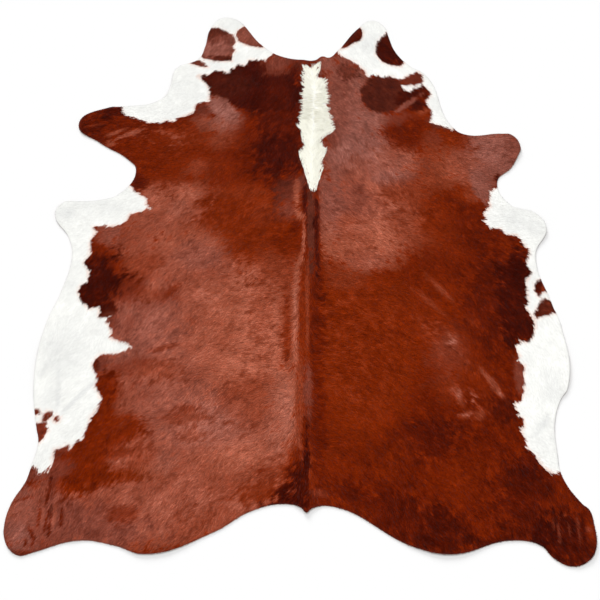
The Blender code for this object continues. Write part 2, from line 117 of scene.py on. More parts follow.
# Tones of the brown coat, laid one over the other: a tone and its ellipses. Each ellipse has its centre and
# half sizes in millimetres, its strength and the softness of its edge in percent, and its turn in degrees. The
# rosy, salmon, mauve and pale tones are partly the hair's own colour and partly painted sheen on the hair.
toneZones = (
    # left ribs, rump and armpit
    ("rosy", (-362, -303, 385, 505, 95, 45), (-323, -815, 382, 258, 95, 40),
     (-630, -960, 335, 142, 90, 40)), ("salmon", (-187, -354, 188, 370, 85)),
    ("mauve", (-582, -275, 146, 174, 45, 90, 11)), ("salmon", (-134, -458, 107, 99, 40, 100)),
    ("mauve", (-531, -507, 184, 150, 25), (-319, -655, 160, 109, 45)),
    ("salmon", (-222, -780, 171, 92, 35)), ("rosy", (-507, 229, 231, 124, 97, 50)),
    # the mahogany ellipse at (-630, 332) is painted shade at the left armpit
    ("salmon", (-493, 251, 100, 71, 40)), ("mahogany", (-630, 332, 42, 34, 75, 70, -44)),
    # left girth and flank
    ("rosy", (-620, 76, 145, 86, 75, 90, -11)), ("rust", (-594, -39, 83, 50, 80, 90, 22)),
    ("rosy", (-362, 67, 106, 69, 85)), ("mauve", (-736, 102, 53, 48, 50, 70)),
    ("mahogany", (-767, -109, 93, 123, 97, 70, -9), (-666, -126, 74, 58, 45), (-711, -211, 40, 36, 85, 50)),
    ("walnut", (-692, -263, 33, 40, 75, 80), (-718, -424, 29, 35, 75, 70)),
    # flecks in the left ribs
    ("flecks", (-551, -183, 149, 144, 75, 80, 22), (-384, -223, 95, 64, 60), (-533, -466, 164, 99, 85),
     (-399, -597, 84, 29, 100, 70)),
    ("chestnut", (-392, -593, 42, 15, 45), (-472, -138, 39, 12, 50, 90, 45),
     (-493, -366, 54, 12, 45, 90, 13)),
    ("rust", (-516, -450, 96, 46, 75), (-549, -150, 52, 33, 70), (-394, -630, 77, 33, 70),
     (-370, -688, 52, 29, 60)),
    # left shoulder, and down beside the spine
    ("copper", (-182, 145, 207, 192, 95, 55, -9)),
    ("rust", (-232, 296, 132, 41, 35, 100, -5), (-129, 194, 56, 51, 35, 90, 34)),
    ("rosy", (-384, 33, 95, 72, 95, 80, 9), (-294, -39, 56, 42, 75)), ("salmon", (-435, 76, 129, 52, 60)),
    ("rust", (-81, -43, 76, 74, 80, 80, -22), (-35, -263, 29, 199, 90)),
    ("salmon", (-86, -275, 33, 191, 60)), ("rust", (-168, -563, 92, 96, 60, 90, 11)),
    ("flecks", (-235, -574, 77, 67, 45)), ("salmon", (-45, -582, 39, 163, 100, 70)),
    ("pale", (-41, -608, 21, 103, 30)),
    # left rump
    ("flecks", (-129, -801, 62, 35, 95, 80, 10)), ("copper", (-127, -895, 102, 34, 80, 70, 12)),
    ("rust", (-176, -861, 136, 41, 35, 90, 12), (-300, -986, 120, 47, 40, 90, 14)),
    ("salmon", (-219, -773, 137, 49, 60)), ("rust", (-561, -1076, 79, 23, 70)),
    # left flank, stifle and thigh
    ("auburn", (-680, -593, 39, 125, 92, 60, -13), (-635, -666, 101, 58, 92, 60, -5)),
    ("rosy", (-613, -537, 32, 90, 75, 90, -8)), ("chestnut", (-686, -515, 35, 56, 95, 60, -11)),
    ("mahogany", (-736, -427, 14, 34, 60, 60, 9)), ("umber", (-806, -738, 35, 21, 80, 80, -21)),
    ("auburn", (-739, -787, 72, 123, 95, 60, -26), (-707, -847, 99, 31, 92, 60, 4)),
    ("copper", (-592, -829, 61, 28, 50, 80, -5)), ("flecks", (-612, -752, 103, 35, 100, 80, -5)),
    ("chestnut", (-618, -759, 55, 18, 55)), ("rosy", (-595, -791, 62, 14, 50, 90, -15)),
    ("rust", (-556, -763, 48, 53, 80)), ("salmon", (-507, -829, 41, 31, 70)),
    ("copper", (-602, -840, 48, 24, 60)),
    # left hind shank
    ("umber", (-848, -986, 127, 134, 70, 60)),
    ("mauve", (-941, -993, 53, 114, 75, 70), (-907, -1059, 40, 39, 50)),
    ("salmon", (-978, -939, 30, 41, 60)), ("umber", (-659, -1013, 160, 67, 75, 90, -6)),
    ("flecks", (-582, -966, 80, 47, 90, 80, -10)), ("copper", (-592, -973, 54, 27, 60)),
    ("umber", (-846, -815, 68, 42, 70, 60, 20)), ("auburn", (-768, -878, 61, 34, 100, 80)),
    ("umber", (-891, -836, 41, 21, 60, 80)),
    # left shoulder and withers
    ("auburn", (-543, 443, 158, 116, 80)),
    ("rust", (-430, 551, 160, 66, 45, 90, -12), (-360, 396, 133, 74, 35)),
    ("wisps", (-536, 537, 163, 75, 75, 90, -23)), ("chestnut", (-560, 594, 100, 24, 75, 80, 5)),
    ("rosy", (-403, 401, 51, 39, 40, 90, 45)),
    # left side of the neck
    ("mahogany", (-212, 800, 215, 129, 97, 12, -15)), ("dusky", (-301, 790, 98, 70, 35)),
    ("mauve", (-314, 676, 90, 44, 100, 35, -37)), ("walnut", (-390, 662, 32, 54, 75)),
    ("rosy", (-372, 609, 52, 38, 75, 90, -12)), ("mauve", (-276, 613, 61, 58, 80, 90, -12)),
    ("rosy", (-289, 527, 76, 47, 55)), ("chestnut", (-165, 490, 103, 141, 55)),
    ("mahogany", (-71, 604, 100, 289, 50, 60), (-78, 443, 79, 102, 60)), ("dusky", (-42, 296, 50, 63, 75)),
    ("mahogany", (9, 415, 24, 46, 70, 80)),
    ("walnut", (13, 337, 27, 36, 85, 80), (13, 871, 25, 41, 80, 80)), ("mahogany", (-24, 835, 33, 71, 70)),
    ("umber", (-41, 211, 38, 53, 70), (-94, 902, 57, 59, 90, 90, -36)), ("walnut", (-36, 917, 37, 31, 45)),
    ("chestnut", (-92, 726, 53, 89, 45)),
    # left fore shank
    ("chestnut", (-785, 604, 105, 72, 30, 80, -12)),
    ("mahogany", (-830, 575, 52, 33, 50, 80, -12), (-753, 662, 53, 29, 75, 60, 6)),
    ("rosy", (-700, 544, 65, 8, 90, 80, 25), (-667, 559, 33, 14, 90, 80, 27),
     (-731, 561, 41, 9, 85, 80, 26), (-745, 505, 28, 10, 80, 80, 16), (-828, 592, 36, 5, 50, 70, 14)),
    ("wisps", (-600, 532, 40, 38, 50, 80)),
    # right side of the neck, and the withers
    ("mauve", (178, 662, 89, 302, 92, 50)), ("umber", (155, 696, 57, 216, 60)),
    ("mauve", (109, 902, 33, 51, 80, 80), (251, 820, 41, 45, 70), (257, 433, 205, 139, 80, 60),
     (286, 618, 77, 62, 95, 70, 12)), ("walnut", (132, 518, 32, 38, 90, 80)),
    ("mauve", (83, 337, 27, 41, 50), (262, 471, 107, 103, 85)), ("pale", (241, 406, 63, 46, 25)),
    ("salmon", (502, 672, 38, 23, 60, 80, 35), (386, 415, 110, 83, 80)),
    # right shoulder
    ("rosy", (269, 180, 211, 229, 95, 50)), ("mauve", (120, 229, 54, 151, 75)),
    ("umber", (194, 251, 102, 79, 55, 90, -23)), ("rust", (177, 154, 50, 39, 60), (175, 85, 42, 39, 60)),
    ("umber", (128, 211, 31, 62, 60)), ("salmon", (304, 76, 85, 85, 95, 90, 22)),
    ("rosy", (233, -18, 105, 38, 85, 80, -9)), ("salmon", (189, 25, 90, 55, 75)),
    ("rust", (135, -97, 74, 37, 70), (468, 163, 107, 114, 70), (552, 42, 84, 42, 20, 100, -22)),
    # right fore shank and the shoulder's edge
    ("mauve", (759, 452, 150, 131, 92, 50)),
    ("rosy", (630, 410, 79, 74, 80), (648, 337, 71, 41, 85, 90, -12)),
    ("umber", (851, 471, 32, 56, 70, 80)), ("flecks", (666, 480, 143, 56, 60, 90, -12)),
    ("copper", (578, 537, 106, 42, 80, 70, -23)), ("walnut", (566, 604, 53, 24, 90, 80, -18)),
    ("umber", (522, 527, 40, 38, 50)), ("chestnut", (416, 561, 70, 75, 92, 70, 24)),
    ("rust", (516, 410, 47, 120, 85)), ("auburn", (509, 150, 57, 48, 75), (566, 265, 147, 67, 95, 70, -7)),
    ("chestnut", (656, 225, 85, 35, 85, 50, -6)), ("rust", (671, 274, 54, 36, 75), (515, 332, 101, 32, 85)),
    ("mauve", (352, 346, 70, 36, 70)), ("salmon", (582, 410, 47, 83, 50)), ("rust", (408, 278, 93, 58, 85)),
    ("mauve", (708, 305, 35, 81, 85, 50, 17)),
    # dark patch of the neck
    ("dusky", (194, 856, 37, 41, 95, 70)), ("plum", (343, 745, 94, 89, 96, 14)),
    ("mahogany", (440, 731, 60, 43, 90, 25, 33)), ("walnut", (460, 825, 55, 34, 60, 30, 26)),
    ("mahogany", (498, 755, 29, 35, 75, 40)), ("mauve", (426, 691, 95, 11, 85, 70, 38)),
    ("umber", (387, 628, 69, 29, 60, 90, 18)), ("mahogany", (482, 686, 41, 19, 85, 50, 14)),
    ("rust", (488, 642, 49, 24, 35, 70, -12)),
    # right back and ribs
    ("copper", (218, -354, 209, 335, 97, 40)), ("rust", (173, -43, 97, 29, 55), (176, -97, 67, 33, 60)),
    ("rosy", (256, -18, 94, 42, 90)),
    ("copper", (216, -709, 187, 179, 40, 70), (457, -255, 185, 237, 50, 90, -22)),
    ("rust", (541, -373, 211, 67, 30, 100, -52)), ("wisps", (528, -358, 264, 75, 35, 90, -52)),
    ("mauve", (529, -393, 66, 106, 22, 100, -32)), ("wisps", (550, -342, 33, 47, 100, 80)),
    ("rosy", (547, -342, 25, 35, 40, 100), (476, -183, 77, 12, 40, 100, -44),
     (631, -267, 38, 10, 35, 100, -49)), ("pale", (523, -134, 67, 12, 35, 100, -49)),
    # right belly and flank
    ("mahogany", (727, -175, 118, 203, 30, 90, -11), (803, -142, 74, 188, 95, 50, -9),
     (829, -295, 40, 55, 95, 50), (794, -159, 52, 195, 90, 40, -9)),
    ("copper", (814, 55, 61, 38, 30, 70, -11)), ("rosy", (682, -500, 67, 12, 80, 80, -57)),
    ("pale", (709, -543, 15, 11, 80, 90, -61)),
    ("rosy", (558, -545, 16, 41, 65, 90, 11), (581, -620, 25, 11, 60, 90, 16),
     (631, -619, 25, 14, 60, 90, 41)),
    ("wisps", (593, -552, 101, 44, 100, 80, -36), (603, -611, 91, 26, 100, 70, 10)),
    ("auburn", (517, -526, 39, 34, 70)), ("umber", (780, -481, 18, 76, 85, 60)),
    # right thigh and hind shank
    ("mahogany", (444, -709, 111, 65, 45), (742, -589, 60, 44, 50)),
    ("copper", (573, -843, 116, 90, 35, 90, -10)),
    ("mahogany", (352, -986, 214, 80, 45, 80, -25), (494, -1013, 80, 60, 40), (617, -1066, 56, 20, 60),
     (743, -919, 101, 115, 45, 90, -30), (782, -787, 41, 49, 50, 90, -20), (896, -1053, 93, 99, 75, 70),
     # the next ellipse, at (798, -1036), is painted shade in a fold of the right hind shank
     (798, -1036, 27, 43, 95, 60)), ("copper", (967, -1020, 17, 46, 70)),
    # the spots on the white
    ("mauve", (-349, 995, 92, 104, 92, 40)), ("plum", (-352, 1065, 68, 32, 92, 60, 13)),
    ("walnut", (-355, 1029, 71, 31, 70, 90, 8)), ("plum", (-326, 927, 54, 19, 95, 60)),
    ("mauve", (-217, 1036, 67, 63, 74, 40)), ("walnut", (-412, 902, 58, 41, 95, 40)),
    ("umber", (-891, -651, 63, 80, 50, 50)),
    ("mahogany", (223, 1036, 50, 63, 60, 50), (368, 984, 75, 104, 95, 40), (882, -126, 22, 37, 80, 50)),
    ("rust", (899, -130, 7, 20, 70, 80, -13)), ("plum", (901, -199, 51, 44, 85, 60)),
    # along the spine, with painted highlights on its ridge (salmon, pale) and painted shade in the troughs
    # beside it
    ("chestnut", (62, -458, 30, 426, 92, 60)), ("auburn", (-52, 76, 38, 73, 70)),
    ("chestnut", (-10, 137, 19, 22, 80, 80)), ("copper", (8, -247, 15, 200, 95, 50)),
    ("rust", (3, -533, 16, 150, 80, 70)), ("chestnut", (-47, -299, 16, 118, 90, 80)),
    ("dusky", (43, 154, 18, 192, 97, 40)), ("mahogany", (66, 128, 11, 156, 90, 70)),
    ("umber", (87, 194, 12, 53, 60)), ("mahogany", (20, 225, 9, 107, 80, 60)),
    ("chestnut", (24, 50, 5, 85, 70, 80)), ("rust", (28, -199, 7, 194, 85, 80)),
    ("umber", (30, -518, 15, 105, 80, 80)),
    ("salmon", (-11, 269, 14, 76, 90, 80), (1, 185, 13, 34, 95, 80, 31), (15, 85, 7, 82, 100, 70),
     (3, -9, 10, 33, 90, 80, -17), (-9, -89, 13, 58, 90, 80), (-19, -275, 14, 191, 100, 70)),
    ("pale", (-17, -223, 6, 161, 50)),
    # at the tail root
    ("auburn", (-23, -840, 51, 76, 85, 100, 39), (-23, -777, 27, 46, 85)),
    ("chestnut", (22, -731, 12, 78, 95, 80)),
    ("mahogany", (-16, -895, 54, 72, 95, 100, 35), (-66, -932, 51, 17, 95, 70, 12)),
    ("rust", (-84, -836, 34, 35, 80)), ("mahogany", (24, -843, 8, 118, 100, 70)),
    ("chestnut", (76, -871, 54, 62, 60)),
    ("wisps", (-29, -881, 41, 27, 80, 80, 20), (76, -885, 44, 31, 90, 80, -20)),
    ("umber", (65, -898, 30, 14, 40, 90, -15)),
    # wrinkles of the hind shanks, as painted light and shade along their folds; the last ellipse is painted
    # shade in the right armpit
    ("dusky", (-835, -970, 6, 74, 90, 70)),
    ("chestnut", (-833, -1000, 5, 37, 90, 70), (-847, -996, 5, 33, 90, 70, -5), (-872, -980, 5, 37, 85, 70),
     (-892, -1026, 5, 23, 90, 70, 28), (-883, -1056, 5, 20, 85, 70, -8), (-907, -1059, 5, 16, 80, 70),
     (-797, -983, 5, 27, 80, 70)), ("mahogany", (-847, -881, 5, 45, 80, 80, -3)),
    ("salmon", (-821, -973, 6, 47, 60), (-862, -966, 5, 34, 50)),
    ("pale", (-947, -1043, 9, 3, 100, 70, 38)), ("rosy", (-918, -960, 40, 47, 50)),
    ("chestnut", (-927, -915, 27, 5, 60, 90, 20)), ("mahogany", (-922, -1095, 33, 8, 40)),
    ("umber", (845, -1000, 4, 17, 55, 80), (861, -1030, 4, 30, 70, 80)),
    ("rosy", (882, -973, 15, 4, 70, 90, 25)),
    ("umber", (896, -1023, 4, 20, 60, 80), (927, -1020, 5, 50, 60, 80), (960, -1020, 11, 13, 50)),
    ("mahogany", (877, -1020, 5, 53, 80, 80), (910, -1033, 5, 60, 80, 80), (941, -1040, 5, 53, 60, 80),
     (811, -1030, 9, 46, 100, 70), (775, 341, 12, 18, 90, 80, 34)),
    # last touches
    ("rust", (-50, -263, 33, 119, 50), (-139, -195, 44, 194, 40), (-70, -72, 45, 50, 70)),
    ("salmon", (107, 85, 30, 86, 60)), ("pale", (-72, -622, 45, 146, 40), (-461, -791, 41, 28, 50)),
    ("chestnut", (-635, -716, 38, 29, 40)), ("rosy", (-880, -881, 34, 31, 50)),
    ("chestnut", (380, -267, 33, 72, 40)), ("rosy", (529, -511, 46, 64, 25)),
    ("mauve", (346, 396, 110, 64, 35)), ("pale", (-460, 211, 38, 31, 40), (-316, 599, 32, 34, 40)),
    ("mauve", (-375, 8, 83, 59, 35)), ("copper", (360, -731, 55, 36, 50), (209, -970, 60, 37, 50)),
    ("salmon", (159, 37, 68, 38, 50)),
)
whiteHollows = (  # painted faint grey shade of hollows and folds in the white, as ellipses of the same kind
    (-843, -358, 79, 101, 10), (-778, -552, 83, 9, 22, 80, 48), (-849, -511, 9, 83, 14, 90, 4),
    (-912, -454, 9, 30, 12, 90, -32), (-873, -556, 35, 52, 8), (-893, 194, 35, 26, 14),
    (-769, 225, 100, 40, 7, 90, -5), (842, 163, 86, 43, 10, 90, -23), (896, 123, 30, 35, 8),
    (890, -511, 32, 75, 12, 90, 8), (841, -651, 9, 50, 14, 90, -39), (852, -673, 42, 51, 8),
    (-302, 1095, 59, 43, 3), (294, 1036, 50, 74, 10),
)

# How the hair lies: distance from the spine and place along it in millimetres, degrees down from straight out.
hairLie = (
    (300, 1050, 62), (130, 850, 66), (420, 780, 40),  # neck
    (100, 450, 58), (400, 450, 38), (720, 580, 14), (880, 500, 16),  # shoulder and fore shank
    (100, 0, 24), (350, 0, 36), (650, 50, 46), (880, 150, 40),  # back to elbow flap
    (100, -350, 14), (400, -350, 40), (750, -350, 58), (920, -400, 72),  # loin to belly
    (100, -700, 34), (400, -750, 48), (700, -800, 52),  # croup to hind shank
    (350, -1020, 62), (880, -1000, 58),  # and the rim there
)
spineLine = outline(56, 930, 53, 300, 40, 50, 20, -200, 6, -400, 12, -650, 21, -950)


def distanceTo(points, path, closed=False):  # nearest distance in plan to a path, and the way to it
    nearest, way = np.full(len(points), np.inf), np.zeros((len(points), 2))
    corners = np.vstack((path, path[:1])) if closed else path
    for start, run in zip(corners, np.diff(corners, axis=0)):
        share = np.clip((points - start) @ run / (run @ run), 0.0, 1.0)
        gap = start + share[:, None] * run - points
        distance = np.hypot(gap[:, 0], gap[:, 1])
        nearer = distance < nearest
        nearest[nearer], way[nearer] = distance[nearer], gap[nearer]
    return nearest, way


def isInside(points, ring):
    inside = np.zeros(len(points), bool)
    for (x0, y0), (x1, y1) in zip(ring, np.roll(ring, -1, axis=0)):
        if y0 == y1:
            continue
        crosses = (points[:, 1] > y0) != (points[:, 1] > y1)
        inside ^= crosses & (points[:, 0] < x0 + (points[:, 1] - y0) * (x1 - x0) / (y1 - y0))
    return inside


def depthInside(points, ring):  # distance to the ring, above 0 inside it
    distance, _ = distanceTo(points, ring, closed=True)
    return np.where(isInside(points, ring), distance, -distance)


def softStep(values, low, high):
    share = np.clip((values - low) / (high - low), 0.0, 1.0)
    return share * share * (3.0 - 2.0 * share)


def cloudNoise(points, size, seed):  # smooth noise of about -1 to 1, of one size
    table = np.random.default_rng(seed).uniform(-1.0, 1.0, (256, 256))
    place = points / size
    cell = np.floor(place).astype(int)
    share = place - cell
    share = share * share * (3.0 - 2.0 * share)
    column, row = cell[:, 0] % 256, cell[:, 1] % 256
    nextColumn, nextRow = (column + 1) % 256, (row + 1) % 256
    low, high = (table[column, at] * (1.0 - share[:, 0]) + table[nextColumn, at] * share[:, 0]
                 for at in (row, nextRow))
    return (low * (1.0 - share[:, 1]) + high * share[:, 1]) * 1.6


def combedNoise(points, lie, size, reach, seed):  # noise drawn out along the hair
    total = sum(cloudNoise(points + lie * reach * step, size, seed) for step in np.linspace(-1.0, 1.0, 7))
    return total / total.std()


def turned(ways, angles):
    cosine, sine = np.cos(angles), np.sin(angles)
    return np.stack((ways[:, 0] * cosine - ways[:, 1] * sine, ways[:, 0] * sine + ways[:, 1] * cosine), axis=1)


def unit(ways):
    return ways / np.linalg.norm(ways, axis=1)[:, None]


def brownDepth(points, wander=0.0):  # distance into the brown, below 0 in the white
    depth = depthInside(points, bodyOutline) + wander
    for spot in brownSpots:
        depth = np.maximum(depth, depthInside(points, spot) + coatLook["spotWander"] * wander)
    return np.minimum(depth, coatLook["blazeInset"] - depthInside(points, blazeOutline))


def acrossFrom(line, points):  # how far to the right of a line that runs from neck to tail
    return points[:, 0] - np.interp(-points[:, 1], -line[:, 1], line[:, 0])


def lieOfHair(points):  # unit vectors in plan, from the table, mirrored about the spine
    across = acrossFrom(spineLine, points)
    total = np.zeros((len(points), 2))
    for out, along, down in hairLie:
        angle = math.radians(down)
        gap = (np.abs(across) - out / 1000) ** 2 + (points[:, 1] - along / 1000) ** 2
        total += np.array((math.cos(angle), -math.sin(angle))) / (gap + 0.004)[:, None] ** 1.5
    back = 1.0 - softStep(np.abs(across), 0.012, 0.05)       # along the spine it lies straight back
    total = unit(total) * (1.0 - back)[:, None] + np.array((0.0, -1.0)) * back[:, None]
    total[:, 0] *= np.where(across < 0.0, -1.0, 1.0)
    swirl = 0.20 * cloudNoise(points, 0.09, 11) + 0.14 * cloudNoise(points, 0.022, 12)
    return unit(turned(total, swirl))


coatLook = {
    "edgeWander": 0.0035,     # metres that the edge of a marking wanders, in tufts
    "edgeTuft": 0.011,        # size of a tuft there
    "tuftReach": 0.012,       # and how far it is drawn out along the hair
    "strayHair": 0.0008,      # metres that single hairs pass the edge
    "spotWander": 0.22,       # share of that on the small spots
    "zoneWander": 0.48,       # how far the tones' edges break up, as a share of their softness
    "mottle": 0.052,          # unevenness of the glow
    "fleck": 0.40,            # depth of the brown flecks in the rosy coat, gaps in its painted sheen
    "wisp": 0.75,             # brightness of the pale hairs in the deep coat, partly painted glints
    "blazeInset": 0.014,      # brown coat under the fringe of the mane
    "coarse": (0.045, 0.030),  # size of a patch in the coat's mottle, and its reach along the hair
    "middle": (0.019, 0.010),
    "fine": (0.0085, 0.006),
    "speck": 0.0042,
}

# Each tone as its glow, from deep brown at 0 to pale rose at 1, and its grey tone; high glow is partly painted
# sheen.
toneScale = {
    "mahogany": (0.04, 0.10),
    "plum": (0.14, 0.75),
    "chestnut": (0.34, 0.0),
    "auburn": (0.42, 0.0),
    "copper": (0.50, 0.0),
    "rust": (0.66, 0.14),
    "umber": (0.56, 0.85),
    "rosy": (0.80, 0.32),
    "salmon": (0.88, 0.15),
    "mauve": (0.78, 1.0),
    "dusky": (0.27, 1.0),
    "walnut": (0.38, 1.0),
    "pale": (1.0, 0.5),
}


def ellipseWeight(points, wander, x, y, halfLong, halfShort, strength, softness=90, turn=0):
    angle, softness = math.radians(turn), softness / 100
    halfLong, halfShort = halfLong / 1000, halfShort / 1000
    gap = points - np.array((x, y)) / 1000
    long = (gap[:, 0] * math.cos(angle) + gap[:, 1] * math.sin(angle)) / halfLong
    short = (gap[:, 1] * math.cos(angle) - gap[:, 0] * math.sin(angle)) / halfShort
    broken = np.sqrt(long ** 2 + short ** 2)
    broken = broken + wander * min(0.5 * softness + 0.005 / min(halfLong, halfShort), 0.6)
    return strength / 100 * (1.0 - softStep(broken, 1.0 - softness / 2, 1.0 + softness / 2))


def coatTones(points, lie):  # glow, grey tone and shade of the brown coat at each place; the glow is partly painted sheen
    coarse, middle, fine = (combedNoise(points, lie, *coatLook[name], seed)
                            for name, seed in (("coarse", 21), ("middle", 22), ("fine", 23)))
    speck = cloudNoise(points, coatLook["speck"], 24)
    wander = coatLook["zoneWander"] * (0.35 * coarse + 0.45 * middle + 0.55 * fine + 0.8 * speck)
    glow, dust = np.full(len(points), toneScale["chestnut"][0]), np.zeros(len(points))
    extra = {"flecks": np.full(len(points), 0.25), "wisps": np.full(len(points), 0.05)}
    for tone, *ellipses in toneZones:
        for weight in (ellipseWeight(points, wander, *ellipse) for ellipse in ellipses):
            if tone in extra:
                extra[tone] = np.maximum(extra[tone], weight)
            else:
                glow += weight * (toneScale[tone][0] - glow)
                dust += weight * (toneScale[tone][1] - dust)
    rosy = softStep(glow, 0.45, 0.8)
    mottle = 0.45 * coarse + 0.6 * middle + 0.6 * fine + 0.6 * speck
    glow += coatLook["mottle"] * (0.45 + 0.55 * rosy) * mottle
    fleck = softStep(0.8 * middle + 0.65 * fine - 0.3 * coarse + 0.45 * speck, 0.3, 2.2)
    glow -= coatLook["fleck"] * rosy * fleck * extra["flecks"]
    wisp = softStep(0.55 * middle + 0.9 * fine + 0.55 * speck, 0.2, 2.2) * extra["wisps"]
    glow += coatLook["wisp"] * (1.0 - glow) * wisp
    dust += 0.5 * (1.0 - dust) * wisp
    shade = 1.0 + 0.03 * coarse + 0.04 * middle + 0.05 * fine + 0.05 * speck
    return {"glow": np.clip(glow, 0.0, 1.0), "dust": np.clip(dust, 0.0, 1.0)}, np.clip(shade, 0.6, 1.5)


class Wire:  # a socket in a node tree, with the usual operators
    def __init__(self, tree, socket):
        self.tree, self.socket = tree, socket

    def calculate(self, operation, first, second):
        isVector = any(isinstance(value, Wire) and value.socket.type != "VALUE" for value in (first, second))
        node = "ShaderNodeVectorMath" if isVector else "ShaderNodeMath"
        return self.tree.add(node, {"operation": operation}, first, second)

    def __add__(self, other): return self.calculate("ADD", self, other)
    def __radd__(self, other): return self.calculate("ADD", self, other)
    def __sub__(self, other): return self.calculate("SUBTRACT", self, other)
    def __rsub__(self, other): return self.calculate("SUBTRACT", other, self)
    def __truediv__(self, other): return self.calculate("DIVIDE", self, other)

    def __mul__(self, other):
        isNumber = isinstance(other, (int, float)) or other.socket.type == "VALUE"
        if self.socket.type != "VALUE" and isNumber:
            return self.tree.add("ShaderNodeVectorMath", {"operation": "SCALE"}, self, Scale=other)
        return self.calculate("MULTIPLY", self, other)

    def __rmul__(self, other): return self * other

    def step(self, low, high):  # 0 below low, 1 above high, soft between
        settings = {"interpolation_type": "SMOOTHSTEP"}
        return self.tree.add("ShaderNodeMapRange", settings, self, **{"From Min": low, "From Max": high})

    def mix(self, other, share):  # this colour at 0, the other at 1
        settings = {"data_type": "RGBA", "blend_type": "MIX"}
        return self.tree.add("ShaderNodeMix", settings, Factor=share, A=self, B=other)


class Tree:
    def __init__(self, nodeTree):
        self.nodeTree = nodeTree

    def add(self, kind, settings, *inOrder, out=None, **byName):  # a node, and its output as a wire
        node = self.nodeTree.nodes.new(kind)
        for name, value in settings.items():
            if name == "stops":
                self.setStops(node.color_ramp, value)
            else:
                setattr(node, name, value)
        usable = [socket for socket in node.inputs if socket.enabled]
        for socket, value in zip(usable, inOrder):
            self.feed(socket, value)
        for name, value in byName.items():
            self.feed(next(socket for socket in usable if socket.name == name), value)
        usable = [socket for socket in node.outputs if socket.enabled and out in (None, socket.name)]
        return Wire(self, usable[0])

    def feed(self, socket, value):
        if isinstance(value, Wire):
            self.nodeTree.links.new(value.socket, socket)
        elif isinstance(value, tuple) and socket.type == "RGBA" and len(value) == 3:
            socket.default_value = (*value, 1.0)
        else:
            socket.default_value = value

    def attribute(self, name):
        return self.add("ShaderNodeAttribute", {"attribute_name": name}, out="Fac")

    def colour(self, value):
        node = self.nodeTree.nodes.new("ShaderNodeRGB")
        node.outputs[0].default_value = (*value, 1.0)
        return Wire(self, node.outputs[0])

    def setStops(self, ramp, stops):
        while len(ramp.elements) > len(stops):
            ramp.elements.remove(ramp.elements[-1])
        while len(ramp.elements) < len(stops):
            ramp.elements.new(1.0)
        for element, (place, colour) in zip(ramp.elements, stops):
            element.position, element.color = place, (*colour, 1.0)


def fromScreen(*parts):  # a colour given as red, green and blue of 0 to 255, as linear light
    return tuple(round(part / 255 / 12.92 if part <= 10 else ((part / 255 + 0.055) / 1.055) ** 2.4, 5)
                 for part in parts)


def newMaterial(name, **constants):  # an empty tree and its Principled shader with the fixed values set
    material = bpy.data.materials.new(name)
    material.use_nodes = True
    shader = material.node_tree.nodes["Principled BSDF"]
    for socket, value in constants.items():
        socket = shader.inputs[socket.replace("_", " ")]
        socket.default_value = (*value, 1.0) if isinstance(value, tuple) and socket.type == "RGBA" else value
    return material, Tree(material.node_tree), shader


coatRamps = {  # glow to colour, for the clean red coat and for the greyer coat; both light ends are partly painted sheen
    "plain": ((0, (57, 3, 0)), (0.16, (78, 12, 0)), (0.34, (104, 24, 0)), (0.5, (130, 38, 1)),
              (0.66, (147, 58, 27)), (0.8, (163, 76, 48)), (1, (193, 107, 79))),
    "greyed": ((0, (67, 18, 11)), (0.27, (101, 43, 29)), (0.5, (125, 62, 48)),
              (0.78, (154, 92, 79)), (1, (180, 122, 110))),
}
whites = {
    "white": fromScreen(250, 250, 246),
    "shadowed white": fromScreen(168, 171, 175),
    "blush": fromScreen(244, 214, 200),
}


def brownColour(tree, depthOfShade):
    glow, dust, shade = (tree.attribute(name) for name in ("glow", "dust", "shade"))
    plain, greyed = (
        tree.add("ShaderNodeValToRGB", {"stops": [(at, fromScreen(*colour)) for at, colour in coatRamps[name]]},
                 glow, out="Color") for name in ("plain", "greyed"))
    grain = tree.add("ShaderNodeTexNoise", {}, Vector=objectPlace(tree), Scale=300.0, Detail=2.0, out="Fac")
    return plain.mix(greyed, dust) * (shade * (grain * 1.4 + 0.3) * depthOfShade)


def whiteColour(tree, depthOfShade):
    colour = tree.colour(whites["white"]).mix(whites["blush"], tree.attribute("blush"))
    colour = colour.mix(whites["shadowed white"], tree.attribute("grey"))
    return colour * ((tree.attribute("shade") * 0.3 + 0.7) * depthOfShade)


def objectPlace(tree):
    return tree.add("ShaderNodeTexCoord", {}, out="Object")


def brownCoatMaterial():
    material, tree, shader = newMaterial(
        "brown_coat", Roughness=0.5, Specular_IOR_Level=0.12, Specular_Tint=(0.8, 0.26, 0.08))
    # each lock is darker towards its root, a painted shade between the locks
    tree.feed(shader.inputs["Base Color"], brownColour(tree, tree.attribute("along") * 0.3 + 0.85))
    return material


def whiteCoatMaterial():
    material, tree, shader = newMaterial("white_coat", Roughness=0.5, Specular_IOR_Level=0.3)
    # a little darker towards the root, a painted shade
    tree.feed(shader.inputs["Base Color"], whiteColour(tree, tree.attribute("along") * 0.05 + 0.95))
    return material


def maneMaterial():
    material, tree, shader = newMaterial("mane", Roughness=0.42, Specular_IOR_Level=0.35)
    # the strands turn olive towards their roots as painted shade, most along the parting
    depth = tree.attribute("grey") * (1.0 - tree.attribute("along"))
    colour = tree.colour(fromScreen(255, 254, 243)).mix(fromScreen(186, 180, 146), depth)
    tree.feed(shader.inputs["Base Color"], colour)
    return material


